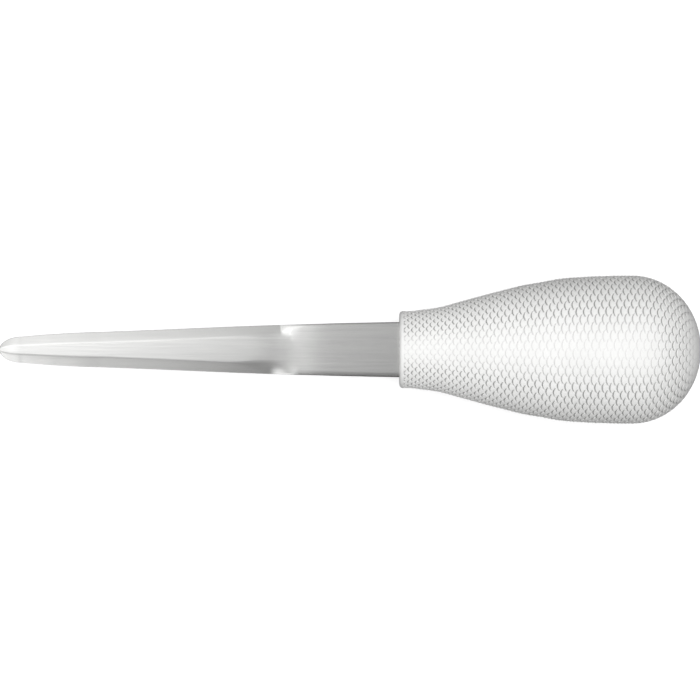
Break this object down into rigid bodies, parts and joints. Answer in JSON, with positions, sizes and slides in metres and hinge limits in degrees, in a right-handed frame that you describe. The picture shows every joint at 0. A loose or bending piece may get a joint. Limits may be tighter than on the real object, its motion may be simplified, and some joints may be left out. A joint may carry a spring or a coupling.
{
  "type": "oyster knife",
  "caption": "Oyster knife with a narrow bevelled blade, rounded blunt nose and hidden tang in a round white bulb handle with a scaled grip texture.",
  "frame": {"origin": "on the handle's axis, midway between the blade's tip and the handle's butt", "axes": "+X along the knife from the tip to the butt, +Y across the blade's width, +Z square to the blade's flats"},
  "size_m": [0.1782, 0.0376, 0.0376],
  "materials": {
    "blade_steel": "satin stainless steel, finely ground along the blade",
    "core_plastic": "plain moulded polypropylene, hidden inside the grip",
    "grip_plastic": "white moulded polypropylene with a fine raised scale texture"
  },
  "bodies": {
    "root": {"blade": "blade_steel", "handle_core": "core_plastic", "handle_grip": "grip_plastic"}
  },
  "joints": []
}
